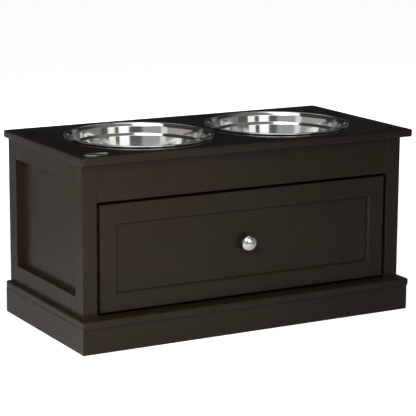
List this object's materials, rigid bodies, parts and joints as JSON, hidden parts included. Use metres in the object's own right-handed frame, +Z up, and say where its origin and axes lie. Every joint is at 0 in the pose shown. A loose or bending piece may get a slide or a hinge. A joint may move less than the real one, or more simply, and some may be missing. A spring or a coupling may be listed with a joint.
{
  "type": "elevated dog feeder with storage",
  "caption": "Raised feeding station: a dark painted cabinet on a plinth, with steel bowls set in its top, panelled sides and a wide drawer on roller runners.",
  "frame": {"origin": "centre of the footprint, on the floor under the foot pads", "axes": "+X to the object's right along its long side, +Y from the drawer front to the back, +Z up"},
  "size_m": [0.59, 0.3, 0.3047],
  "materials": {
    "espresso_paint": "satin espresso paint on fibreboard",
    "drawer_board": "dark foil on board",
    "hardboard": "dark painted hardboard",
    "raw_wood": "bare softwood",
    "stainless": "polished",
    "chrome": "polished",
    "runner_coat": "white baked coat",
    "zinc": "zinc plated",
    "nylon": "moulded nylon",
    "rubber": "matt"
  },
  "bodies": {
    "cabinet": {"back_panel": "hardboard", "base_board": "espresso_paint", "base_screws": "zinc", "bracket_screws": "zinc", "cabinet_runner_left": "runner_coat", "cabinet_runner_right": "runner_coat", "cabinet_runner_screws": "zinc", "cleat_screws": "zinc", "corner_brackets": "zinc", "foot_pads": "rubber", "front_rail": "espresso_paint", "front_roller_pin_left": "zinc", "front_roller_pin_right": "zinc", "front_stile_left": "espresso_paint", "front_stile_right": "espresso_paint", "plinth_back": "espresso_paint", "plinth_corner_blocks": "raw_wood", "plinth_front": "espresso_paint", "plinth_side_left": "espresso_paint", "plinth_side_right": "espresso_paint", "rail_dowels": "raw_wood", "rear_rail": "espresso_paint", "rear_stile_left": "espresso_paint", "rear_stile_right": "espresso_paint", "side_bottom_rail_left": "espresso_paint", "side_bottom_rail_right": "espresso_paint", "side_panel_left": "espresso_paint", "side_panel_right": "espresso_paint", "side_top_rail_left": "espresso_paint", "side_top_rail_right": "espresso_paint", "top_board": "espresso_paint", "top_cleat_left": "raw_wood", "top_cleat_right": "raw_wood", "top_screws": "zinc"},
    "drawer": {"drawer_back": "drawer_board", "drawer_back_screws": "zinc", "drawer_bottom": "hardboard", "drawer_cam_bolts": "zinc", "drawer_cams": "zinc", "drawer_front": "espresso_paint", "drawer_runner_left": "runner_coat", "drawer_runner_right": "runner_coat", "drawer_runner_screws": "zinc", "drawer_side_left": "drawer_board", "drawer_side_right": "drawer_board", "knob": "chrome", "knob_screw": "zinc", "rear_roller_pin_left": "zinc", "rear_roller_pin_right": "zinc"},
    "bowl_left": {"bowl_left": "stainless"},
    "bowl_right": {"bowl_right": "stainless"},
    "front_roller_left": {"front_roller_left": "nylon"},
    "front_roller_right": {"front_roller_right": "nylon"},
    "rear_roller_left": {"rear_roller_left": "nylon"},
    "rear_roller_right": {"rear_roller_right": "nylon"}
  },
  "joints": [
    {"name": "drawer_slide", "type": "slide", "parent": "cabinet", "child": "drawer", "axis": [0, -1, 0], "range_m": [0, 0.19]},
    {"name": "bowl_left_lift", "type": "slide", "parent": "cabinet", "child": "bowl_left", "axis": [0, 0, 1], "range_m": [0, 0.1]},
    {"name": "bowl_right_lift", "type": "slide", "parent": "cabinet", "child": "bowl_right", "axis": [0, 0, 1], "range_m": [0, 0.1]},
    {"name": "front_roller_left_spin", "type": "hinge", "parent": "cabinet", "child": "front_roller_left", "pos_m": [-0.2565, -0.097, 0.0747], "axis": [1, 0, 0], "continuous": true},
    {"name": "front_roller_right_spin", "type": "hinge", "parent": "cabinet", "child": "front_roller_right", "pos_m": [0.2565, -0.097, 0.0747], "axis": [1, 0, 0], "continuous": true},
    {"name": "rear_roller_left_spin", "type": "hinge", "parent": "drawer", "child": "rear_roller_left", "pos_m": [-0.2565, 0.123, 0.0743], "axis": [1, 0, 0], "continuous": true},
    {"name": "rear_roller_right_spin", "type": "hinge", "parent": "drawer", "child": "rear_roller_right", "pos_m": [0.2565, 0.123, 0.0743], "axis": [1, 0, 0], "continuous": true}
  ],
  "couplings": [
    {"joint": "front_roller_left_spin", "follows": "drawer_slide", "rad_per_m": 92.593},
    {"joint": "front_roller_right_spin", "follows": "drawer_slide", "rad_per_m": 92.593},
    {"joint": "rear_roller_left_spin", "follows": "drawer_slide", "rad_per_m": 92.593},
    {"joint": "rear_roller_right_spin", "follows": "drawer_slide", "rad_per_m": 92.593}
  ]
}
